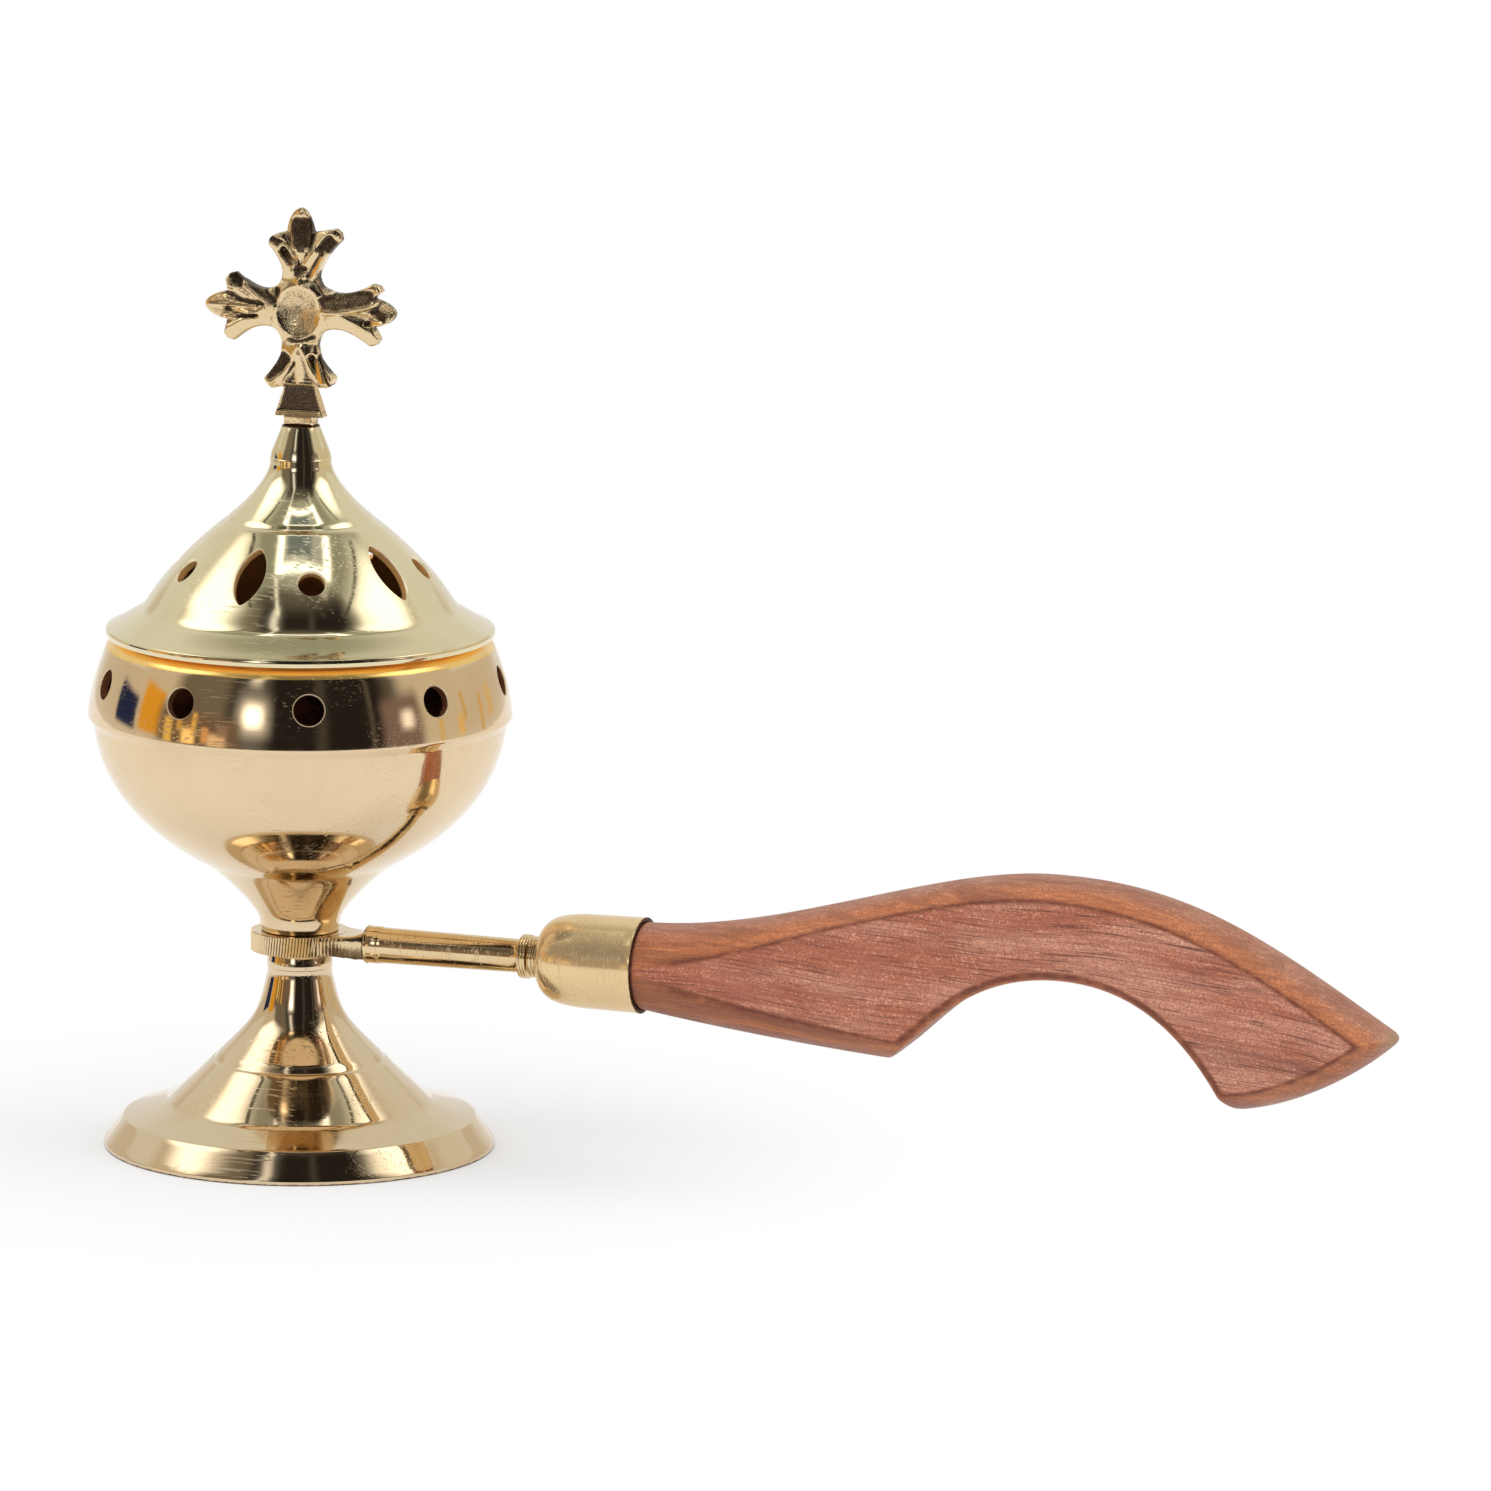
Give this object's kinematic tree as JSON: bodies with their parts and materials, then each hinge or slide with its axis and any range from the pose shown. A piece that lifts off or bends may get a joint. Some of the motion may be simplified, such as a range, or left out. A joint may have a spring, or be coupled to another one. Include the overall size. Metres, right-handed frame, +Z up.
{
  "type": "hand censer",
  "caption": "Hand-held incense burner: pierced turned bowl on a flared foot, lift-off pierced lid with a cross on top, and a curved wooden grip on a side rod.",
  "frame": {"origin": "bottom centre of the box round the whole censer", "axes": "+Z up along the bowl's axis, +X towards the grip's end, +Y completes a right-handed frame and is across the grip"},
  "size_m": [0.286, 0.0896, 0.2002],
  "materials": {
    "turned_brass": "turned and polished, fine circumferential marks",
    "cast_brass": "cast, lightly polished on the high places",
    "pan_brass": "spun, dulled by heat",
    "steel": "zinc plated",
    "wood": "reddish hardwood, satin oiled"
  },
  "bodies": {
    "stand": {"foot": "turned_brass", "stem_stud": "steel", "foot_washer": "steel", "foot_nut": "steel", "handle_eye": "cast_brass", "handle_rod": "turned_brass", "grip_tang": "steel", "ferrule": "turned_brass", "grip": "wood", "bowl": "turned_brass"},
    "lid": {"lid": "turned_brass", "cross_finial": "cast_brass"},
    "pan": {"charcoal_pan": "pan_brass"}
  },
  "joints": [
    {"name": "lid_lift", "type": "slide", "parent": "stand", "child": "lid", "axis": [0, 0, 1], "range_m": [0, 0.11]},
    {"name": "pan_lift", "type": "slide", "parent": "stand", "child": "pan", "axis": [0, 0, 1], "range_m": [0, 0.055]}
  ],
  "couplings": [
    {"joint": "pan_lift", "follows": "lid_lift", "ratio": 0.5}
  ]
}
